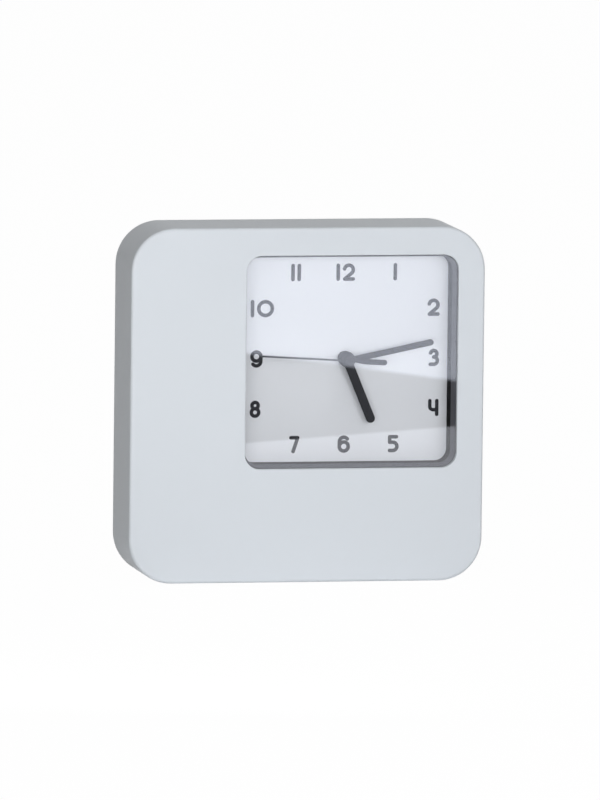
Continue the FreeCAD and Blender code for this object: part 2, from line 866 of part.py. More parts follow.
def make_second_hand():
    back = PLACE["dial_front"] - second_hand_height
    front = back - second_hand_thickness
    step = hand_direction(second_hand_angle)
    across = (-step[1], step[0])
    tip = (step[0] * second_hand_reach, step[1] * second_hand_reach)
    needle = bar(CENTRE, tip, second_needle_width, front, back)
    tail_end = (-step[0] * tail_reach, -step[1] * tail_reach)
    tail_start = (-step[0] * tail_neck_end, -step[1] * tail_neck_end)
    tail = bar(tail_start, tail_end, tail_width, front, back)
    neck = []
    for distance, width in (
        (0.0, tail_neck_width), (tail_neck_start, tail_neck_width), (tail_neck_end, tail_width),
        (tail_neck_end, -tail_width), (tail_neck_start, -tail_neck_width), (0.0, -tail_neck_width),
    ):
        x = -step[0] * distance + across[0] * width / 2
        z = -step[1] * distance + across[1] * width / 2
        neck.append((x, z))
    cap_front = back - second_cap_height
    cap = rod(second_cap_radius, cap_front, back)
    cap = cap.makeFillet(second_cap_fillet, edges_at_depth(cap, cap_front))
    collar_back = PLACE["dial_front"] - minute_hand_height - hand_thickness - second_collar_gap
    collar = rod(second_collar_radius, back - second_hand_thickness, collar_back)
    hand = joined([needle, outline_block(neck, front, back), tail, cap, collar])
    socket = rod(second_arbor_radius + fit_gap, front, collar_back + cut_overrun)
    return to_dial(hand.cut(socket))


# Gears

def module_of(distance, teeth, other_teeth):
    """Tooth module of a pair of wheels from the distance of their axes."""
    return 2 * distance / (teeth + other_teeth)


def make_gear(teeth, module, phase, y0, y1, place):
    """Toothed disc. phase is the angle in radians of one tooth's middle, from +X towards +Z."""
    pitch_radius = module * teeth / 2
    root = pitch_radius - dedendum_share * module
    shoulder = pitch_radius + shoulder_share * module
    tip = pitch_radius + addendum_share * module
    pitch_angle = 2 * math.pi / teeth
    profile = [
        (root, -tooth_root_share), (pitch_radius, -tooth_share), (shoulder, -tooth_shoulder_share),
        (tip, -tooth_tip_share), (tip, tooth_tip_share), (shoulder, tooth_shoulder_share),
        (pitch_radius, tooth_share), (root, tooth_root_share),
    ]
    points = []
    for tooth in range(teeth):
        middle = phase + tooth * pitch_angle
        for radius, share in profile:
            angle = middle + share * pitch_angle / 2
            points.append((place[0] + radius * math.cos(angle), place[1] + radius * math.sin(angle)))
    return outline_block(points, y0, y1)


def meshed_phase(phase, teeth, place, other_teeth, other_place):
    """Phase of a second wheel whose gap meets the first wheel's tooth."""
    towards = math.atan2(other_place[1] - place[1], other_place[0] - place[0])
    ratio = teeth / other_teeth
    return towards + math.pi - ratio * (phase - towards) - math.pi / other_teeth


def pinion_shaft_radius(module, teeth):
    """Radius of the round stock behind a pinion, down at its tooth roots."""
    return module * teeth / 2 - dedendum_share * module


second_third_module = module_of(third_distance, second_pinion_teeth, third_wheel_teeth)
third_minute_module = module_of(third_distance, third_pinion_teeth, minute_wheel_teeth)
minute_motion_module = module_of(motion_distance, minute_pinion_teeth, motion_wheel_teeth)
motion_hour_module = module_of(motion_distance, motion_pinion_teeth, hour_wheel_teeth)
step_second_module = module_of(step_distance, step_pinion_teeth, second_wheel_teeth)
rotor_step_module = module_of(rotor_distance, rotor_teeth, step_wheel_teeth)


def gear_phases():
    """Phases of all wheels, worked through the train from the second wheel."""
    phase = {"second_wheel": 0.0, "second_pinion": 0.0}
    phase["third_wheel"] = meshed_phase(0.0, second_pinion_teeth, CENTRE, third_wheel_teeth, THIRD)
    phase["third_pinion"] = 0.0
    phase["minute_wheel"] = meshed_phase(0.0, third_pinion_teeth, THIRD, minute_wheel_teeth, CENTRE)
    phase["minute_pinion"] = 0.0
    phase["motion_wheel"] = meshed_phase(0.0, minute_pinion_teeth, CENTRE, motion_wheel_teeth, MOTION)
    phase["motion_pinion"] = 0.0
    phase["hour_wheel"] = meshed_phase(0.0, motion_pinion_teeth, MOTION, hour_wheel_teeth, CENTRE)
    phase["setting_pinion"] = meshed_phase(
        phase["motion_wheel"], motion_wheel_teeth, MOTION, setting_pinion_teeth, SETTING,
    )
    phase["step_pinion"] = meshed_phase(0.0, second_wheel_teeth, CENTRE, step_pinion_teeth, STEP)
    phase["step_wheel"] = 0.0
    phase["rotor_pinion"] = meshed_phase(0.0, step_wheel_teeth, STEP, rotor_teeth, ROTOR)
    return phase


PHASE = gear_phases()


def hand_level(height):
    """Depth of a place above the dial, measured from the movement's front face."""
    return -dial_thickness - height


def make_hour_wheel():
    y0 = LAYER["hour"]
    y1 = y0 + gear_thickness
    wheel = make_gear(hour_wheel_teeth, motion_hour_module, PHASE["hour_wheel"], y0, y1, CENTRE)
    tube = rod(hour_tube_radius, hand_level(hour_hand_height + hand_thickness), y1)
    bore = rod(minute_tube_radius + running_gap, hand_level(minute_hand_height), y1 + cut_overrun)
    return in_movement(joined([wheel, tube]).cut(bore))


def make_minute_wheel():
    y0 = LAYER["minute"]
    y1 = y0 + gear_thickness
    wheel = make_gear(minute_wheel_teeth, third_minute_module, PHASE["minute_wheel"], y0, y1, CENTRE)
    pinion_start = LAYER["motion"] - pinion_overrun
    phase = PHASE["minute_pinion"]
    pinion = make_gear(minute_pinion_teeth, minute_motion_module, phase, pinion_start, y1, CENTRE)
    tube = rod(minute_tube_radius, hand_level(minute_hand_height + hand_thickness), y1)
    bore = rod(second_arbor_radius + running_gap, hand_level(second_hand_height), y1 + cut_overrun)
    return in_movement(joined([wheel, pinion, tube]).cut(bore))


def make_motion_wheel():
    y0 = LAYER["motion"]
    y1 = y0 + gear_thickness
    wheel = make_gear(motion_wheel_teeth, minute_motion_module, PHASE["motion_wheel"], y0, y1, MOTION)
    pinion_start = LAYER["hour"] - pinion_overrun
    phase = PHASE["motion_pinion"]
    pinion = make_gear(motion_pinion_teeth, motion_hour_module, phase, pinion_start, y1, MOTION)
    bore_radius = motion_post_radius + running_gap
    bore = rod(bore_radius, pinion_start - cut_overrun, y1 + cut_overrun, MOTION[0], MOTION[1])
    return in_movement(joined([wheel, pinion]).cut(bore))


def make_second_wheel():
    y0 = LAYER["second"]
    y1 = y0 + gear_thickness
    wheel = make_gear(second_wheel_teeth, step_second_module, PHASE["second_wheel"], y0, y1, CENTRE)
    pinion_start = LAYER["third"] - pinion_overrun
    phase = PHASE["second_pinion"]
    pinion = make_gear(second_pinion_teeth, second_third_module, phase, pinion_start, y1, CENTRE)
    bore = rod(second_arbor_radius + fit_gap, pinion_start - cut_overrun, y1 + cut_overrun)
    return in_movement(joined([wheel, pinion]).cut(bore))


def make_second_arbor():
    start = hand_level(second_hand_height + second_hand_thickness) + running_gap
    arbor = rod(second_arbor_radius, start, LAYER["rear_wall"] - arbor_boss_gap)
    return in_movement(arbor)


def make_third_wheel():
    y0 = LAYER["third"]
    y1 = y0 + gear_thickness
    wheel = make_gear(third_wheel_teeth, second_third_module, PHASE["third_wheel"], y0, y1, THIRD)
    pinion_start = LAYER["minute"] - pinion_overrun
    pinion_end = LAYER["plate"] - layer_gap / 2
    phase = PHASE["third_pinion"]
    pinion = make_gear(third_pinion_teeth, third_minute_module, phase, pinion_start, pinion_end, THIRD)
    neck_radius = pinion_shaft_radius(third_minute_module, third_pinion_teeth)
    neck = rod(neck_radius, pinion_start, y1, THIRD[0], THIRD[1])
    bore = rod(arbor_radius + fit_gap, pinion_start - cut_overrun, y1 + cut_overrun, THIRD[0], THIRD[1])
    return in_movement(joined([wheel, pinion, neck]).cut(bore))


def make_arbor(place, start, end):
    """Steel arbor between two depths."""
    return in_movement(rod(arbor_radius, start, end, place[0], place[1]))


def boss_end_after(layer_name):
    """Where a rear boss begins behind a wheel of a layer."""
    return LAYER[layer_name] + gear_thickness + layer_gap / 2


def make_third_arbor():
    start = LAYER["minute"] - pinion_overrun - layer_gap - pivot_depth
    return make_arbor(THIRD, start, boss_end_after("third") + pivot_depth)


def make_step_wheel():
    y0 = LAYER["step"]
    y1 = y0 + gear_thickness
    wheel = make_gear(step_wheel_teeth, rotor_step_module, PHASE["step_wheel"], y0, y1, STEP)
    pinion_start = LAYER["second"] - pinion_overrun
    pinion = make_gear(step_pinion_teeth, step_second_module, PHASE["step_pinion"], pinion_start, y1, STEP)
    bore = rod(arbor_radius + fit_gap, pinion_start - cut_overrun, y1 + cut_overrun, STEP[0], STEP[1])
    return in_movement(joined([wheel, pinion]).cut(bore))


def make_step_arbor():
    return make_arbor(STEP, LAYER["plate"], boss_end_after("step") + pivot_depth)


def make_rotor_pinion():
    start = LAYER["step"] - pinion_overrun
    end = LAYER["step"] + gear_thickness + pinion_overrun
    phase = PHASE["rotor_pinion"]
    pinion = make_gear(rotor_teeth, rotor_step_module, phase, start, end, ROTOR)
    neck_radius = pinion_shaft_radius(rotor_step_module, rotor_teeth)
    neck = rod(neck_radius, LAYER["magnet"] + magnet_length, end, ROTOR[0], ROTOR[1])
    bore = rod(rotor_arbor_radius + fit_gap, LAYER["magnet"], end + cut_overrun, ROTOR[0], ROTOR[1])
    return in_movement(joined([pinion, neck]).cut(bore))


def make_rotor_magnet():
    start = LAYER["magnet"]
    return in_movement(
        ring(magnet_radius, rotor_arbor_radius + fit_gap, start, start + magnet_length, ROTOR[0], ROTOR[1])
    )


def make_rotor_arbor():
    start = LAYER["magnet"] - layer_gap - pivot_depth / 2
    end = boss_end_after("step") + pivot_depth
    return in_movement(rod(rotor_arbor_radius, start, end, ROTOR[0], ROTOR[1]))


# Stepping motor and circuit

def make_stator():
    y0 = LAYER["stator"]
    y1 = y0 + stator_thickness
    left = ROTOR[0] - stator_half_width
    right = ROTOR[0] + stator_half_width
    top = COIL[1] + coil_core_width / 2
    plate = box(left, right, y0, y1, ROTOR[1] - stator_below, top)
    gap = box(
        left + stator_arm_width, right - stator_arm_width, y0 - cut_overrun, y1 + cut_overrun,
        ROTOR[1] + stator_above, top + cut_overrun,
    )
    hole = rod(magnet_radius + stator_gap, y0 - cut_overrun, y1 + cut_overrun, ROTOR[0], ROTOR[1])
    return in_movement(without(plate, [gap, hole]))


def make_coil_core():
    y0 = LAYER["stator"] + stator_thickness
    half = stator_half_width
    half_width = coil_core_width / 2
    core = box(
        COIL[0] - half, COIL[0] + half, y0, y0 + stator_thickness,
        COIL[1] - half_width, COIL[1] + half_width,
    )
    return in_movement(core)


def coil_rod(radius, x0, x1):
    """Round bar along the coil's own axis."""
    return Part.makeCylinder(radius, x1 - x0, Vector(x0, LAYER["coil"], COIL[1]), Vector(1, 0, 0))


def coil_ends():
    """Both ends of the coil's bobbin."""
    return (COIL[0] - coil_length / 2, COIL[0] + coil_length / 2)


def make_coil_bobbin():
    left, right = coil_ends()
    half_depth = stator_thickness / 2 + running_gap
    half_width = coil_core_width / 2 + running_gap
    tube_radius = math.hypot(half_depth, half_width) + coil_tube_wall
    tube = coil_rod(tube_radius, left, right)
    flanges = [
        coil_rod(coil_flange_radius, left, left + coil_flange_thickness),
        coil_rod(coil_flange_radius, right - coil_flange_thickness, right),
    ]
    slot = box(
        left - cut_overrun, right + cut_overrun, LAYER["coil"] - half_depth, LAYER["coil"] + half_depth,
        COIL[1] - half_width, COIL[1] + half_width,
    )
    return in_movement(joined([tube] + flanges).cut(slot))


def make_coil_winding():
    left, right = coil_ends()
    start = left + coil_flange_thickness + fit_gap
    end = right - coil_flange_thickness - fit_gap
    half_depth = stator_thickness / 2 + running_gap
    half_width = coil_core_width / 2 + running_gap
    tube_radius = math.hypot(half_depth, half_width) + coil_tube_wall
    winding = coil_rod(coil_radius, start, end)
    return in_movement(winding.cut(coil_rod(tube_radius + fit_gap, start - cut_overrun, end + cut_overrun)))


def make_circuit_board():
    y0 = LAYER["board"]
    half = inner_half - board_edge_gap
    board = box(-half, half, y0, y0 + board_thickness, board_bottom, inner_half - board_edge_gap)
    return in_movement(board)


def board_middle():
    """Height of the board's middle line."""
    return (board_bottom + inner_half - board_edge_gap) / 2


def make_circuit_chip():
    y0 = LAYER["board"] + board_thickness
    chip = rod(chip_radius, y0, y0 + chip_height, -chip_offset, board_middle())
    chip = chip.makeFillet(chip_fillet, edges_at_depth(chip, y0 + chip_height))
    return in_movement(chip)


def make_quartz_crystal():
    level = LAYER["board"] + board_thickness + board_part_gap + crystal_radius
    start = Vector(crystal_offset, level, board_middle())
    can = Part.makeCylinder(crystal_radius, crystal_length, start, Vector(1, 0, 0))
    return in_movement(can)


# Movement housing

def boss_and_pivot(place, radius, boss_start, boss_end, hole_start, hole_end):
    """A bearing boss and its pivot hole, as a pair of shapes."""
    boss = rod(arbor_boss_radius, boss_start, boss_end, place[0], place[1])
    hole = rod(radius + running_gap, hole_start, hole_end, place[0], place[1])
    return boss, hole


def pillar_points():
    """Places of the middle plate's pillars."""
    left = -plate_left + pillar_inset
    right = plate_right - pillar_inset
    bottom = -plate_bottom + pillar_inset
    top = plate_top - pillar_inset
    return [(left, bottom), (left, top), (right, bottom), (right, top)]


def make_movement_case_front():
    plate = rounded_block(movement_size, movement_size, movement_corner_radius, 0.0, movement_wall)
    bush = rod(bush_radius, hand_level(bush_height), movement_wall)
    posts = [plate, bush]
    bush_bore = hour_tube_radius + running_gap
    holes = [rod(bush_bore, hand_level(bush_height) - cut_overrun, movement_wall + cut_overrun)]
    for x, z in pillar_points():
        posts.append(rod(pillar_radius, movement_wall / 2, LAYER["plate"], x, z))
    for side in (-1, 1):
        x = ROTOR[0] + side * (stator_half_width - stator_arm_width / 2)
        posts.append(rod(pillar_radius, movement_wall / 2, LAYER["stator"], x, COIL[1]))
    motion_end = LAYER["motion"] + gear_thickness + layer_gap / 2
    posts.append(rod(motion_post_radius, movement_wall / 2, motion_end, MOTION[0], MOTION[1]))
    third_start = LAYER["minute"] - pinion_overrun - layer_gap
    boss, hole = boss_and_pivot(
        THIRD, arbor_radius, movement_wall / 2, third_start, third_start - pivot_depth - running_gap,
        third_start + cut_overrun,
    )
    posts.append(boss)
    holes.append(hole)
    rotor_start = LAYER["magnet"] - layer_gap
    rotor_hole = rotor_start - pivot_depth / 2 - running_gap
    boss, hole = boss_and_pivot(
        ROTOR, rotor_arbor_radius, movement_wall / 2, rotor_start, rotor_hole, rotor_start + cut_overrun,
    )
    posts.append(boss)
    holes.append(hole)
    shaft_start = LAYER["motion"] - pinion_overrun - layer_gap
    boss, hole = boss_and_pivot(
        SETTING, arbor_radius, movement_wall / 2, shaft_start, shaft_start - pivot_depth - running_gap,
        shaft_start + cut_overrun,
    )
    posts.append(boss)
    holes.append(hole)
    return in_movement(without(joined(posts), holes))


def make_movement_plate():
    y0 = LAYER["plate"]
    y1 = y0 + plate_thickness
    width = plate_left + plate_right
    height = plate_bottom + plate_top
    middle_x = (plate_right - plate_left) / 2
    middle_z = (plate_top - plate_bottom) / 2
    plate = rounded_block(width, height, plate_corner_radius, y0, y1, middle_x, middle_z)
    neck = pinion_shaft_radius(third_minute_module, third_pinion_teeth)
    holes = [
        rod(second_arbor_radius + running_gap, y0 - cut_overrun, y1 + cut_overrun),
        rod(neck + plate_hole_gap, y0 - cut_overrun, y1 + cut_overrun, THIRD[0], THIRD[1]),
        rod(arbor_radius + running_gap, y0 - cut_overrun, y1 + cut_overrun, STEP[0], STEP[1]),
        rod(setting_shaft_radius + running_gap, y0 - cut_overrun, y1 + cut_overrun, SETTING[0], SETTING[1]),
    ]
    return in_movement(without(plate, holes))


def contact_slot(side):
    """Slot beside the side wall through which a contact's tail leaves the battery bay."""
    outer = side * (inner_half + contact_slot_gap)
    inner = side * (inner_half - contact_thickness - contact_slot_gap)
    tail_start = LAYER["board"] - contact_tail_width - contact_slot_gap
    return box(
        min(inner, outer), max(inner, outer), tail_start, LAYER["board"] + contact_slot_gap,
        bay_top - cut_overrun, train_bottom + cut_overrun,
    )


def make_marks(y0, y1):
    """Raised plus and minus signs beside the battery bay."""
    z = train_bottom + mark_inset
    x = inner_half - mark_inset
    half = mark_length / 2
    return [
        bar((x - half, z), (x + half, z), mark_stroke, y0, y1),
        bar((x, z - half), (x, z + half), mark_stroke, y0, y1),
        bar((-x - half, z), (-x + half, z), mark_stroke, y0, y1),
    ]


def make_movement_case_rear():
    depth = movement_depth
    body = rounded_block(movement_size, movement_size, movement_corner_radius, movement_wall, depth)
    body = body.makeFillet(movement_wall / 2, edges_at_depth(body, depth))
    train = box(
        -inner_half, inner_half, movement_wall - cut_overrun, LAYER["rear_wall"], train_bottom, inner_half,
    )
    bay = box(-inner_half, inner_half, movement_wall + bay_floor, depth + cut_overrun, bay_bottom, bay_top)
    notch_half = bay_notch_width / 2
    notch = box(
        -notch_half, notch_half, depth - bay_notch_depth, depth + cut_overrun,
        -half_movement - cut_overrun, bay_bottom + cut_overrun,
    )
    shell = without(body, [train, bay, notch, contact_slot(-1), contact_slot(1)])
    posts = [shell]
    holes = []
    wall = LAYER["rear_wall"] + movement_wall / 2
    for place, radius, layer_name in (
        (CENTRE, second_arbor_radius, "second"), (THIRD, arbor_radius, "third"),
        (STEP, arbor_radius, "step"), (ROTOR, rotor_arbor_radius, "step"),
    ):
        start = boss_end_after(layer_name)
        if place is ROTOR:
            start += pinion_overrun
        end = LAYER["rear_wall"]
        boss, hole = boss_and_pivot(place, radius, start, wall, start - cut_overrun, end)
        posts.append(boss)
        holes.append(hole)
    shaft_hole = setting_shaft_radius + running_gap
    hole_start = LAYER["rear_wall"] - cut_overrun
    holes.append(rod(shaft_hole, hole_start, depth + cut_overrun, SETTING[0], SETTING[1]))
    board_back = LAYER["board"] + board_thickness
    for side in (-1, 1):
        posts.append(rod(pillar_radius, board_back, wall, side * board_peg_offset, board_middle()))
    posts.extend(make_marks(depth - mark_thickness, depth + mark_thickness))
    return in_movement(without(joined(posts), holes))


# Battery, contacts and setting knob

def cell_rod(radius, x0, x1):
    """Round bar along the battery's axis."""
    return Part.makeCylinder(radius, x1 - x0, Vector(x0, cell_level, CELL[1]), Vector(1, 0, 0))


def cell_span():
    """Both ends of the battery, with the positive end at the right contact."""
    right = inner_half - contact_thickness - contact_gap
    return right - cell_length, right


def make_battery_can():
    left, right = cell_span()
    shoulder = right - cell_nub_length
    can = cell_rod(cell_radius - sleeve_thickness - fit_gap, left, shoulder)
    rims = [edge for edge in can.Edges if abs(edge.BoundBox.XMax - edge.BoundBox.XMin) < fit_gap]
    can = can.makeFillet(cell_rim_fillet, rims)
    nub = cell_rod(cell_nub_radius, shoulder - cell_nub_length, right)
    nub_rims = [edge for edge in nub.Edges if abs(edge.BoundBox.XMin - right) < fit_gap]
    nub = nub.makeFillet(cell_rim_fillet / 2, nub_rims)
    return in_movement(joined([can, nub]))


def make_battery_sleeve():
    left, right = cell_span()
    start = left + cell_end_recess
    end = right - cell_nub_length - cell_end_recess
    outer = cell_rod(cell_radius, start, end)
    bore = cell_rod(cell_radius - sleeve_thickness, start - cut_overrun, end + cut_overrun)
    return in_movement(outer.cut(bore))


def contact_tail(side):
    """Strip along the side wall from the battery bay up to the circuit board."""
    outer = side * inner_half
    inner = side * (inner_half - contact_thickness)
    y1 = LAYER["board"]
    y0 = y1 - contact_tail_width
    top = board_bottom + contact_tail_width
    return box(min(inner, outer), max(inner, outer), y0, y1, CELL[1], top)


def contact_blade(side):
    """Flat blade against an end wall of the battery bay."""
    outer = side * inner_half
    inner = side * (inner_half - contact_thickness)
    half = contact_width / 2
    bottom = CELL[1] - contact_height / 2
    top = CELL[1] + contact_height / 2
    return box(min(inner, outer), max(inner, outer), cell_level - half, cell_level + half, bottom, top)


def make_battery_contact_plus():
    return in_movement(joined([contact_blade(1), contact_tail(1)]))


def make_battery_contact_minus():
    """Blade with a folded leaf that presses on the battery's flat end."""
    left = cell_span()[0]
    wall = -inner_half + contact_thickness
    touch = left - contact_gap
    bottom = CELL[1] - contact_height / 2
    fold_top = bottom + contact_height * leaf_start_share
    middle = CELL[1]
    crest = middle + contact_thickness
    leaf = [
        (wall - contact_thickness, bottom), (wall, bottom),
        (touch, middle - contact_thickness), (touch, crest),
        (wall + contact_thickness, fold_top + contact_height / 2),
        (wall + contact_thickness, fold_top + contact_height / 2 - contact_thickness),
        (touch - contact_thickness, crest), (touch - contact_thickness, middle - contact_thickness),
        (wall - contact_thickness, bottom + contact_thickness),
    ]
    half = contact_width / 2
    strip = outline_block(leaf, cell_level - half, cell_level + half)
    return in_movement(joined([contact_blade(-1), contact_tail(-1), strip]))


def make_setting_shaft():
    x, z = SETTING
    pinion_start = LAYER["motion"] - pinion_overrun
    pinion_end = LAYER["motion"] + gear_thickness + pinion_overrun
    phase = PHASE["setting_pinion"]
    pinion = make_gear(setting_pinion_teeth, minute_motion_module, phase, pinion_start, pinion_end, SETTING)
    shaft_end = movement_depth + setting_knob_lift + setting_knob_length / 2
    shaft = rod(setting_shaft_radius, pinion_start, shaft_end, x, z)
    pivot_start = pinion_start - layer_gap - pivot_depth
    pivot = rod(arbor_radius, pivot_start, pinion_start + cut_overrun, x, z)
    return in_movement(joined([pinion, shaft, pivot]))


def make_setting_knob():
    x, z = SETTING
    start = movement_depth + setting_knob_lift
    end = start + setting_knob_length
    knob = rod(setting_knob_radius, start, end, x, z)
    knob = knob.makeFillet(setting_knob_fillet, edges_at_depth(knob, end))
    flutes = []
    for index in range(setting_knob_flutes):
        flute = around(SETTING, setting_knob_radius, 360 * index / setting_knob_flutes)
        flutes.append(rod(setting_flute_radius, start - cut_overrun, end + cut_overrun, flute[0], flute[1]))
    socket_end = start + setting_knob_length / 2 + fit_gap
    socket = rod(setting_shaft_radius + fit_gap, start - cut_overrun, socket_end, x, z)
    return in_movement(without(knob, flutes + [socket]))


MAKERS = {
    "front_case": make_front_case,
    "lens": make_lens,
    "dial_frame": make_dial_frame,
    "dial": make_dial,
    "dial_numerals": make_numerals,
    "dial_carrier": make_dial_carrier,
    "carrier_screws": make_carrier_screws,
    "rear_cover": make_rear_cover,
    "rear_cover_screws": make_cover_screws,
    "hour_hand": make_hour_hand,
    "minute_hand": make_minute_hand,
    "second_hand": make_second_hand,
    "movement_case_front": make_movement_case_front,
    "movement_case_rear": make_movement_case_rear,
    "movement_plate": make_movement_plate,
    "hour_wheel": make_hour_wheel,
    "minute_wheel": make_minute_wheel,
    "motion_wheel": make_motion_wheel,
    "second_wheel": make_second_wheel,
    "second_arbor": make_second_arbor,
    "third_wheel": make_third_wheel,
    "third_arbor": make_third_arbor,
    "step_wheel": make_step_wheel,
    "step_arbor": make_step_arbor,
    "rotor_pinion": make_rotor_pinion,
    "rotor_magnet": make_rotor_magnet,
    "rotor_arbor": make_rotor_arbor,
    "stator": make_stator,
    "coil_core": make_coil_core,
    "coil_bobbin": make_coil_bobbin,
    "coil_winding": make_coil_winding,
    "circuit_board": make_circuit_board,
    "circuit_chip": make_circuit_chip,
    "quartz_crystal": make_quartz_crystal,
    "battery_contact_plus": make_battery_contact_plus,
    "battery_contact_minus": make_battery_contact_minus,
    "battery_can": make_battery_can,
    "battery_sleeve": make_battery_sleeve,
    "setting_shaft": make_setting_shaft,
    "setting_knob": make_setting_knob,
}


def main():
    os.makedirs("parts", exist_ok=True)
    for name, make in MAKERS.items():
        shape = make()
        if not shape.isValid():
            print("not valid:", name)
        print(name, len(shape.Solids), "solids", round(shape.Volume, 2), "mm3")
        shape.exportStep(f"parts/{name}.step")


main()
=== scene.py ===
import json
import math

import bpy
from mathutils import Matrix, Vector

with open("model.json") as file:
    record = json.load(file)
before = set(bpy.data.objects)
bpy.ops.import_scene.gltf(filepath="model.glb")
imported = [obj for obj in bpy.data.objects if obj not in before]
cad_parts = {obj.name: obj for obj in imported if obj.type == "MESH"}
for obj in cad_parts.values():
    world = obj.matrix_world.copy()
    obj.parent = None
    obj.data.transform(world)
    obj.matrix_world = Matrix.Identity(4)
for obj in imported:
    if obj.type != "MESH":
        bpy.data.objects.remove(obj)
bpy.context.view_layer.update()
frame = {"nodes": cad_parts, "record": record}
scene = bpy.context.scene

# Depths on the clock, in metres: the lens's front plane, the end of the frame's flare with the softness of
# its change to black, which is partly painted shade, and the place before which the hands' tubes are
# painted black as shade between the hands
LENS_Y = -0.0199
FLARE_END_Y = -0.0121
FLARE_END_SOFT = 0.00005
TUBE_TIP_Y = -0.0083

# Along the battery, in metres: where its silver end begins, and a thin silver line before it
BATTERY_BAND_X = 0.0315
BATTERY_LINE_X = (0.0300, 0.0306)

WHITE = (1.0, 1.0, 1.0, 1.0)

# The part of a noise's range that is spread over a colour or a roughness
NOISE_LOW, NOISE_HIGH = 0.3, 0.7
# How much finer the roughness noise is than the colour mottle, and metal's grain than its mottle
ROUGH_FINENESS = 3.1
METAL_GRAIN_FINENESS = 4
# Edge wear: rays of the bevel, and the turn of the normal (as a cosine) that counts as a full edge
BEVEL_SAMPLES = 4
FULL_EDGE = 0.86

PRINCIPLED_INPUTS = {
    "color": "Base Color",
    "rough": "Roughness",
    "metal": "Metallic",
    "spec": "Specular IOR Level",
    "alpha": "Alpha",
}
# Sockets of the mix node when it mixes colours
MIX_FACTOR, MIX_A, MIX_B, MIX_RESULT = 0, 6, 7, 2


def srgb(r, g, b):
    """Linear colour from 0 to 255 screen values."""
    out = []
    for v in (r, g, b):
        c = v / 255
        out.append(c / 12.92 if c <= 0.04045 else ((c + 0.055) / 1.055) ** 2.4)
    return (out[0], out[1], out[2], 1.0)


def shade(colour, factor, lift=0.0):
    """The colour made darker or brighter, 1 at most."""
    return (*(min(1.0, c * factor + lift) for c in colour[:3]), 1.0)


class Tree:
    """The node tree of a material or the world, with short helpers."""

    def __init__(self, owner):
        owner.use_nodes = True
        self.tree = owner.node_tree
        self.tree.nodes.clear()

    def link(self, source, target):
        self.tree.links.new(source, target)

    def node(self, kind, **values):
        n = self.tree.nodes.new(kind)
        for key, value in values.items():
            setattr(n, key, value)
        return n

    def feed(self, value, target):
        """Set a constant, or link another node's output."""
        if isinstance(value, (int, float, tuple)):
            target.default_value = value
        else:
            self.link(value, target)

    def math(self, op, a, b):
        m = self.node("ShaderNodeMath", operation=op)
        self.feed(a, m.inputs[0])
        self.feed(b, m.inputs[1])
        return m.outputs[0]

    def light(self, kind, colour, strength):
        """An emission or a background."""
        n = self.node(kind)
        n.inputs["Color"].default_value = colour
        self.feed(strength, n.inputs["Strength"])
        return n.outputs[0]

    def seen(self):
        """1 for what the camera, mirrors and clear pieces look at, 0 for what only gives light."""
        paths = self.node("ShaderNodeLightPath").outputs
        mirrored = self.math("MAXIMUM", paths["Is Glossy Ray"], paths["Is Transmission Ray"])
        return self.math("MAXIMUM", paths["Is Camera Ray"], mirrored)

    def mix_shaders(self, share, under, over):
        mixer = self.node("ShaderNodeMixShader")
        for slot, value in enumerate((share, under, over)):
            self.link(value, mixer.inputs[slot])
        return mixer.outputs[0]


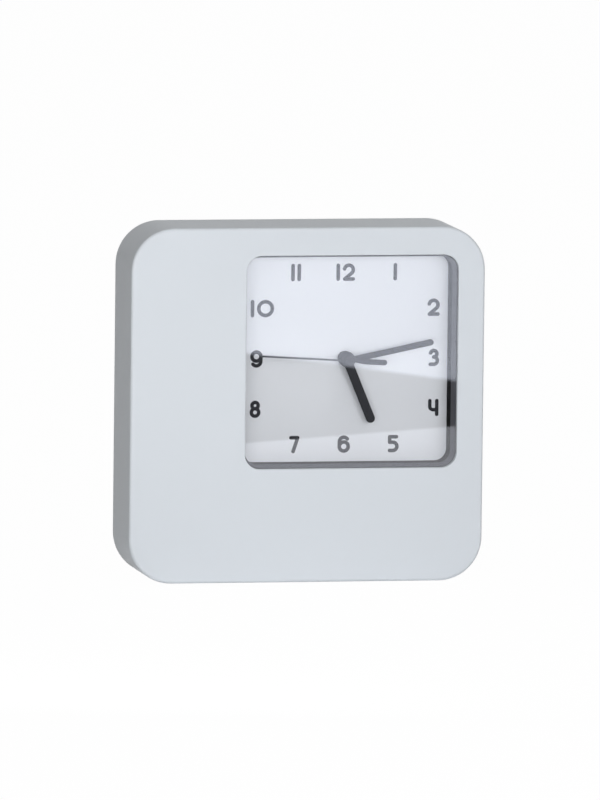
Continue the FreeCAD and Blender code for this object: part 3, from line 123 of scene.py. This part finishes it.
class Mat(Tree):
    """A material around one Principled shader."""

    def __init__(self, name):
        self.mat = bpy.data.materials.new(name)
        super().__init__(self.mat)
        self.out = self.node("ShaderNodeOutputMaterial")
        self.bsdf = self.node("ShaderNodeBsdfPrincipled")
        self.coord = self.node("ShaderNodeTexCoord")
        self.colour = None
        self.surface(self.bsdf.outputs[0])

    def surface(self, shader):
        self.link(shader, self.out.inputs["Surface"])

    def set(self, **values):
        """Constants on the shader's own sockets."""
        for key, value in values.items():
            self.bsdf.inputs[PRINCIPLED_INPUTS[key]].default_value = value

    def paint(self, colour):
        """Link the base colour, and keep it for a layer that is laid over it."""
        self.colour = colour
        self.link(colour, self.bsdf.inputs["Base Color"])

    def layer(self, share, colour):
        """Lay a colour over the base colour."""
        self.paint(self.mix(share, self.colour, colour))

    def roughness(self, noise, to_low, to_high, low=NOISE_LOW, high=NOISE_HIGH):
        self.link(self.span(noise, low, high, to_low, to_high), self.bsdf.inputs["Roughness"])

    def place(self):
        """Object coordinates as X, Y and Z."""
        split = self.node("ShaderNodeSeparateXYZ")
        self.link(self.coord.outputs["Object"], split.inputs[0])
        return split.outputs

    def mapped(self, what, value):
        """Object coordinates, scaled or rotated."""
        mapping = self.node("ShaderNodeMapping")
        mapping.inputs[what].default_value = value
        self.link(self.coord.outputs["Object"], mapping.inputs["Vector"])
        return mapping.outputs[0]

    def noise(self, scale, detail=3.0, rough=0.5, stretch=None):
        n = self.node("ShaderNodeTexNoise")
        n.inputs["Scale"].default_value = scale
        n.inputs["Detail"].default_value = detail
        n.inputs["Roughness"].default_value = rough
        source = self.mapped("Scale", stretch) if stretch else self.coord.outputs["Object"]
        self.link(source, n.inputs["Vector"])
        return n.outputs["Fac"]

    def ramp(self, fac, start, end, low=NOISE_LOW, high=NOISE_HIGH):
        """A colour that runs from start to end while fac runs from low to high."""
        r = self.node("ShaderNodeValToRGB")
        for element, position, colour in zip(r.color_ramp.elements, (low, high), (start, end)):
            element.position = position
            element.color = colour
        self.link(fac, r.inputs["Fac"])
        return r.outputs["Color"]

    def span(self, value, low, high, to_low, to_high):
        """A value that runs from to_low to to_high while another runs from low to high."""
        m = self.node("ShaderNodeMapRange")
        m.inputs["From Min"].default_value = low
        m.inputs["From Max"].default_value = high
        m.inputs["To Min"].default_value = to_low
        m.inputs["To Max"].default_value = to_high
        self.link(value, m.inputs["Value"])
        return m.outputs["Result"]

    def mix(self, share, a, b):
        m = self.node("ShaderNodeMix", data_type="RGBA")
        for slot, value in ((MIX_FACTOR, share), (MIX_A, a), (MIX_B, b)):
            self.feed(value, m.inputs[slot])
        return m.outputs[MIX_RESULT]

    def bump(self, height, strength, distance, base=None):
        """Bump from a height in metres, on top of another bump if base is given."""
        b = self.node("ShaderNodeBump")
        b.inputs["Strength"].default_value = strength
        b.inputs["Distance"].default_value = distance
        self.link(height, b.inputs["Height"])
        if base is not None:
            self.link(base, b.inputs["Normal"])
        self.link(b.outputs[0], self.bsdf.inputs["Normal"])
        return b.outputs[0]

    def edge_wear(self, radius):
        """1 on sharp outer edges, 0 on flat faces."""
        bevel = self.node("ShaderNodeBevel", samples=BEVEL_SAMPLES)
        bevel.inputs["Radius"].default_value = radius
        geometry = self.node("ShaderNodeNewGeometry")
        dot = self.node("ShaderNodeVectorMath", operation="DOT_PRODUCT")
        self.link(bevel.outputs[0], dot.inputs[0])
        self.link(geometry.outputs["Normal"], dot.inputs[1])
        return self.span(dot.outputs["Value"], 1.0, FULL_EDGE, 0.0, 1.0)


def vary(m, colour, *, amount, scale, rough, rough_span, grain, grain_height, grain_scale, stretch=None):
    """Colour mottle, roughness variation and fine grain bump, the base of most finishes."""
    cloud = m.noise(scale, 4.0, 0.55, stretch)
    m.paint(m.ramp(cloud, shade(colour, 1 - amount), shade(colour, 1 + amount)))
    m.roughness(m.noise(scale * ROUGH_FINENESS, 3.0, 0.6, stretch), rough - rough_span, rough + rough_span)
    m.bump(m.noise(grain_scale, 2.0, 0.6, stretch), grain, grain_height)


def silver_paint():
    """Satin paint with a soft cloud, fine metallic flecks and two sizes of orange peel."""
    m = Mat("silver_paint")
    base = srgb(210, 215, 220)
    soft = m.ramp(m.noise(9.0), shade(base, 0.985), shade(base, 1.01))
    fleck = m.span(m.noise(5200.0, 1.0), 0.56, 0.7, 0.0, 0.5)
    m.paint(m.mix(fleck, soft, shade(base, 1.06)))
    m.set(spec=0.35)
    m.roughness(m.noise(260.0, 3.0, 0.6), 0.46, 0.54)
    peel = m.bump(m.noise(900.0, 2.0, 0.55), 0.12, 0.00004)
    m.bump(m.noise(4200.0, 1.0), 0.1, 0.00002, base=peel)
    return m.mat


def clear_lens():
    """A thin mirror-like film over a clear piece: it adds its reflections and hides next to nothing."""
    m = Mat("clear_lens")
    m.set(color=WHITE, metal=1.0, alpha=0.045)
    m.roughness(m.noise(70.0, 3.0, 0.6), 0.0, 0.012, low=0.35, high=0.75)
    m.bump(m.noise(14.0, 1.0, 0.4), 0.02, 0.0002)
    return m.mat


def grey_frame_plastic():
    """Dark grey on the flare, near black behind it: the wall's own dark plastic and painted shade of the
    recess.
    """
    m = Mat("grey_frame_plastic")
    vary(m, srgb(95, 96, 101), amount=0.04, scale=60.0, rough=0.8, rough_span=0.06,
         grain=0.15, grain_height=0.00003, grain_scale=3000.0)
    # Painted shade: the straight wall behind the flare, deep in the recess, is laid over with near black by
    # its depth.
    deep_black_and_shade = m.span(m.place()["Y"], FLARE_END_Y - FLARE_END_SOFT, FLARE_END_Y + FLARE_END_SOFT, 0.0, 1.0)
    m.layer(deep_black_and_shade, m.ramp(m.noise(60.0), srgb(13, 13, 14), srgb(16, 16, 17)))
    m.set(spec=0.05)
    return m.mat


def dial_white():
    m = Mat("dial_white")
    vary(m, srgb(225, 228, 233), amount=0.008, scale=25.0, rough=0.62, rough_span=0.05,
         grain=0.1, grain_height=0.00002, grain_scale=5200.0)
    m.set(spec=0.35)
    return m.mat


def black_print():
    m = Mat("black_print")
    vary(m, srgb(37, 37, 41), amount=0.05, scale=900.0, rough=0.55, rough_span=0.05,
         grain=0.12, grain_height=0.00002, grain_scale=6500.0)
    m.set(spec=0.25)
    return m.mat


def hand_black():
    """Black paint on thin metal, a little paler on the edges."""
    m = Mat("hand_black")
    vary(m, srgb(38, 38, 41), amount=0.06, scale=400.0, rough=0.55, rough_span=0.06,
         grain=0.12, grain_height=0.00002, grain_scale=4200.0)
    m.layer(m.math("MULTIPLY", m.edge_wear(0.00012), 0.08), srgb(96, 97, 102))
    m.set(spec=0.25)
    return m.mat


def moulded(name, colour, *, rough=0.55, grain=0.35, height=0.00006, scale=2600.0, wear=0.25):
    """Moulded plastic with a fine etched grain and paler rubbed edges."""
    m = Mat(name)
    vary(m, colour, amount=0.05, scale=45.0, rough=rough, rough_span=0.06,
         grain=grain, grain_height=height, grain_scale=scale)
    m.layer(m.math("MULTIPLY", m.edge_wear(0.0004), wear), shade(colour, 1.5, lift=0.02))
    m.set(spec=0.45)
    return m.mat


def metal(name, colour, *, rough, stretch=None, scale=500.0, amount=0.06, span=0.08, grain=0.12):
    """Bare metal with drawn or tumbled texture."""
    m = Mat(name)
    vary(m, colour, amount=amount, scale=scale, rough=rough, rough_span=span, grain=grain,
         grain_height=0.00002, grain_scale=scale * METAL_GRAIN_FINENESS, stretch=stretch)
    m.set(metal=1.0)
    return m.mat


def gear_natural():
    """Natural plastic; the ends of the hour and minute tubes, showing between the hands, are painted black as
    shade.
    """
    m = Mat("gear_natural")
    vary(m, srgb(232, 229, 216), amount=0.03, scale=180.0, rough=0.38, rough_span=0.05,
         grain=0.15, grain_height=0.00002, grain_scale=2600.0)
    # Painted shade: the tube ends in front of TUBE_TIP_Y are darkened to black where they show between the
    # hands.
    m.layer(m.math("LESS_THAN", m.place()["Y"], TUBE_TIP_Y), srgb(38, 38, 41))
    m.set(spec=0.5)
    return m.mat


def copper_wire():
    """Enamelled wire: fine turns side by side along the coil's axis, with painted shade in the creases
    between turns.
    """
    m = Mat("copper_wire")
    wave = m.node("ShaderNodeTexWave", wave_type="BANDS", bands_direction="X", wave_profile="SIN")
    wave.inputs["Scale"].default_value = 1600.0
    wave.inputs["Distortion"].default_value = 0.6
    wave.inputs["Detail"].default_value = 1.0
    m.link(m.coord.outputs["Object"], wave.inputs["Vector"])
    turns_and_crease_shade = wave.outputs["Fac"]
    # Painted shade: each turn runs from dark copper in the crease to bright copper on its crown, in step with
    # its bump.
    m.paint(m.ramp(turns_and_crease_shade, srgb(96, 38, 18), srgb(214, 120, 70), low=0.0, high=1.0))
    m.roughness(m.noise(600.0), 0.25, 0.4)
    m.bump(turns_and_crease_shade, 0.5, 0.00005)
    m.set(metal=1.0)
    return m.mat


def board_green():
    """Solder mask with faint copper tracks under it."""
    m = Mat("board_green")
    brick = m.node("ShaderNodeTexBrick")
    brick.inputs["Scale"].default_value = 420.0
    brick.inputs["Mortar Size"].default_value = 0.03
    brick.inputs["Color1"].default_value = srgb(22, 92, 52)
    brick.inputs["Color2"].default_value = srgb(26, 102, 58)
    brick.inputs["Mortar"].default_value = srgb(44, 128, 74)
    m.link(m.mapped("Rotation", (math.radians(90), 0, 0)), brick.inputs["Vector"])
    m.paint(brick.outputs["Color"])
    m.roughness(m.noise(800.0), 0.28, 0.4)
    m.bump(brick.outputs["Fac"], 0.2, 0.00003)
    return m.mat


def battery_print():
    """Printed film on the battery: a dark blue barrel with a plain silver band at the plus end."""
    m = Mat("battery_print")
    x = m.place()["X"]
    line_start, line_end = BATTERY_LINE_X
    line = m.math("MULTIPLY", m.math("GREATER_THAN", x, line_start), m.math("LESS_THAN", x, line_end))
    m.paint(m.ramp(m.noise(120.0), srgb(24, 62, 124), srgb(30, 72, 138)))
    m.layer(m.math("MAXIMUM", m.math("GREATER_THAN", x, BATTERY_BAND_X), line),
            m.ramp(m.noise(300.0), srgb(176, 178, 182), srgb(196, 198, 202)))
    m.roughness(m.noise(500.0), 0.22, 0.34)
    m.bump(m.noise(350.0, 2.0), 0.1, 0.00003)
    m.set(spec=0.5)
    return m.mat


SLOT_MATERIALS = {
    "silver_paint": silver_paint(),
    "clear_lens": clear_lens(),
    "grey_frame_plastic": grey_frame_plastic(),
    "dial_white": dial_white(),
    "black_print": black_print(),
    "carrier_plastic": moulded("carrier_plastic", srgb(74, 75, 78)),
    "screw_steel": metal("screw_steel", srgb(196, 198, 202), rough=0.32),
    "cover_plastic": moulded("cover_plastic", srgb(78, 79, 82), rough=0.6, grain=0.5, height=0.00008,
                             scale=2200.0),
    "hand_black": hand_black(),
    "movement_black": moulded("movement_black", srgb(40, 40, 42), grain=0.4, scale=2800.0),
    "gear_natural": gear_natural(),
    "arbor_steel": metal("arbor_steel", srgb(200, 201, 205), rough=0.2),
    "magnet_grey": metal("magnet_grey", srgb(70, 71, 75), rough=0.5, scale=900.0, amount=0.15),
    "stator_steel": metal("stator_steel", srgb(168, 169, 172), rough=0.38, stretch=(1, 12, 1)),
    "copper_wire": copper_wire(),
    "board_green": board_green(),
    "chip_black": moulded("chip_black", srgb(24, 24, 25), rough=0.3, grain=0.2, height=0.00005,
                          scale=900.0, wear=0.0),
    "crystal_can": metal("crystal_can", srgb(205, 206, 208), rough=0.25, stretch=(6, 1, 6)),
    "contact_nickel": metal("contact_nickel", srgb(198, 194, 184), rough=0.28, stretch=(1, 1, 8)),
    "battery_steel": metal("battery_steel", srgb(190, 191, 194), rough=0.32, scale=120.0, amount=0.03,
                           span=0.04, grain=0.05),
    "battery_print": battery_print(),
    "knob_black": moulded("knob_black", srgb(44, 44, 46), rough=0.5, grain=0.3, height=0.00005,
                          scale=2400.0, wear=0.35),
}

slot_of = {entry["node"]: entry["material_slot"] for entry in frame["record"]["subparts"]}
for name, node in frame["nodes"].items():
    node.data.materials.clear()
    node.data.materials.append(SLOT_MATERIALS[slot_of[name]])


def add_object(name, data):
    obj = bpy.data.objects.new(name, data)
    scene.collection.objects.link(obj)
    return obj


# Camera: far away with a long lens, left of and above the clock's front. Its focal length is in pixels here.
IMAGE_WIDTH, IMAGE_HEIGHT = 600, 800
IMAGE_FOCUS = 14934.16
SENSOR_HEIGHT = 24.0
CAMERA_REACH = 60.0
RIGHT = Vector((0.98123423, -0.19248954, 0.01127642))
UPWARD = Vector((0.00968327, 0.10760053, 0.99414705))
FORWARD = Vector((0.19257625, 0.97538193, -0.10744525))
EYE = Vector((-1.28052604, -6.48879814, 0.79415269))


def make_camera():
    data = bpy.data.cameras.new("camera")
    data.sensor_fit = "VERTICAL"
    data.sensor_height = SENSOR_HEIGHT
    data.lens = IMAGE_FOCUS / IMAGE_HEIGHT * SENSOR_HEIGHT
    data.clip_end = CAMERA_REACH
    camera = add_object("camera", data)
    camera.matrix_world = Matrix((
        (RIGHT[0], UPWARD[0], -FORWARD[0], EYE[0]),
        (RIGHT[1], UPWARD[1], -FORWARD[1], EYE[1]),
        (RIGHT[2], UPWARD[2], -FORWARD[2], EYE[2]),
        (0, 0, 0, 1),
    ))
    scene.camera = camera


make_camera()


def stage_plane(name, points, material):
    """One four-sided face that belongs to the stage."""
    mesh = bpy.data.meshes.new(name)
    mesh.from_pydata(points, [], [(0, 1, 2, 3)])
    mesh.materials.append(material)
    obj = add_object(name, mesh)
    return obj


# The floor reaches this far to each side. Its lift towards white leaves a part of the clock's shadow.
FLOOR_REACH = 4.0
FLOOR_LIFT = 0.985


def floor_material():
    """Pale floor, lifted towards white where the camera, mirrors and clear pieces see it."""
    m = Mat("floor_pale")
    m.set(rough=0.7, spec=0.3)
    m.paint(m.ramp(m.noise(3.0), (0.80, 0.80, 0.80, 1.0), (0.82, 0.82, 0.82, 1.0)))
    glow = m.light("ShaderNodeEmission", WHITE, 1.0)
    m.surface(m.mix_shaders(m.math("MULTIPLY", m.seen(), FLOOR_LIFT), m.bsdf.outputs[0], glow))
    return m.mat


def make_floor():
    far = FLOOR_REACH
    points = [(-far, -far, 0.0), (far, -far, 0.0), (far, far, 0.0), (-far, far, 0.0)]
    stage_plane("floor", points, floor_material())


make_floor()

CLOCK_CENTRE = (0.0, 0.0, 0.079)
# Name, place, target, width and height of the lit face in metres, power in watts
AREA_LIGHTS = (
    ("key_light", (0.20, -1.4, 0.30), CLOCK_CENTRE, 0.8, 0.4, 8.4),
    ("fill_light", (-0.16, -0.45, 0.11), (-0.06, 0.0, 0.04), 0.2, 0.08, 0.5),
    ("high_light", (0.1, -0.6, 1.7), CLOCK_CENTRE, 0.8, 0.5, 7.1),
    ("left_light", (-1.2, -0.1, 0.45), CLOCK_CENTRE, 0.5, 0.5, 0.7),
    ("rear_light", (0.9, 1.4, 0.75), CLOCK_CENTRE, 0.8, 0.5, 1.6),
)


def area_light(name, place, target, width, height, power):
    """Rectangular light that neither the camera nor reflections see."""
    data = bpy.data.lights.new(name, "AREA")
    data.shape = "RECTANGLE"
    data.size = width
    data.size_y = height
    data.energy = power
    obj = add_object(name, data)
    obj.location = place
    obj.rotation_euler = (Vector(target) - Vector(place)).to_track_quat("-Z", "Y").to_euler()
    obj.visible_glossy = False
    obj.visible_camera = False


for settings in AREA_LIGHTS:
    area_light(*settings)

ROOM_LIGHT = 0.075


def make_world():
    """Even room light. What the camera, mirrors and clear pieces see of the room is white."""
    world = bpy.data.worlds.new("world")
    scene.world = world
    w = Tree(world)
    room = w.light("ShaderNodeBackground", WHITE, ROOM_LIGHT)
    white = w.light("ShaderNodeBackground", WHITE, 1.0)
    output = w.node("ShaderNodeOutputWorld")
    w.link(w.mix_shaders(w.seen(), room, white), output.inputs["Surface"])


make_world()

# The card that the lens mirrors stands this far before the lens. Its sides and top fade out.
BOARD_DISTANCE = 0.35
BOARD_Y = LENS_Y - BOARD_DISTANCE
BOARD_LEFT, BOARD_RIGHT = -0.34, 0.46
BOARD_FOOT, BOARD_TOP = 0.002, 0.42
BOARD_FADE = 0.14
# The card's bright upper part and grey lower part: two places in the image on each one's mirrored edge, the
# edge's softness in metres on the card, and the light that the part gives
UPPER_EDGE = (246, 353.5), (447, 379.5)
UPPER_SOFT = 0.001
UPPER_GLOW = (2.5, 2.65, 3.05)
LOWER_EDGE = (246, 443.5), (447, 427.5)
LOWER_SOFT = 0.0005
LOWER_GLOW = (1.6, 1.65, 1.8)


def board_point(u, v):
    """X and Z on the board of what the lens's front mirrors to image place u, v."""
    across = (u - IMAGE_WIDTH / 2) / IMAGE_FOCUS
    down = (v - IMAGE_HEIGHT / 2) / IMAGE_FOCUS
    ray = FORWARD + RIGHT * across - UPWARD * down
    to_lens = LENS_Y - EYE.y
    on_lens = EYE + ray * (to_lens / ray.y)
    point = EYE + (on_lens - EYE) * (1 + BOARD_DISTANCE / to_lens)
    return point.x, point.z


def board_material():
    """Soft studio card that only reflections see: bright above, dark across the middle, grey below."""
    m = Mat("reflector_card")
    place = m.place()
    x, z = place["X"], place["Z"]

    def above(edge, soft):
        """1 above the edge, 0 below it."""
        (x0, z0), (x1, z1) = (board_point(u, v) for u, v in edge)
        slope = (z1 - z0) / (x1 - x0)
        height = m.math("SUBTRACT", m.math("SUBTRACT", z, m.math("MULTIPLY", x, slope)), z0 - slope * x0)
        return m.span(height, -soft, soft, 0.0, 1.0)

    streak = m.span(m.noise(16.0, 3.0, 0.6, stretch=(0.5, 1.0, 4.0)), 0.35, 0.65, to_low=0.96, to_high=1.03)
    upper = m.math("MULTIPLY", above(UPPER_EDGE, UPPER_SOFT), streak)
    lower = m.math("SUBTRACT", 1.0, above(LOWER_EDGE, LOWER_SOFT))
    both = m.node("ShaderNodeAddShader")
    for slot, (share, glow) in enumerate(((upper, UPPER_GLOW), (lower, LOWER_GLOW))):
        peak = max(glow)
        strength = m.math("MULTIPLY", share, peak)
        m.link(m.light("ShaderNodeEmission", shade(glow, 1 / peak), strength), both.inputs[slot])
    sides = m.math("MULTIPLY", m.span(x, BOARD_LEFT, BOARD_LEFT + BOARD_FADE, 0.0, 1.0),
                   m.span(x, BOARD_RIGHT - BOARD_FADE, BOARD_RIGHT, 1.0, 0.0))
    cover = m.math("MULTIPLY", sides, m.span(z, BOARD_TOP - BOARD_FADE, BOARD_TOP, 1.0, 0.0))
    clear = m.node("ShaderNodeBsdfTransparent")
    m.surface(m.mix_shaders(cover, clear.outputs[0], both.outputs[0]))
    return m.mat


def make_board():
    points = [(BOARD_LEFT, BOARD_Y, BOARD_FOOT), (BOARD_RIGHT, BOARD_Y, BOARD_FOOT),
              (BOARD_RIGHT, BOARD_Y, BOARD_TOP), (BOARD_LEFT, BOARD_Y, BOARD_TOP)]
    board = stage_plane("reflector_card", points, board_material())
    board.visible_camera = False
    board.visible_diffuse = False
    board.visible_transmission = False
    board.visible_volume_scatter = False
    board.visible_shadow = False


make_board()

scene.view_settings.view_transform = "Standard"
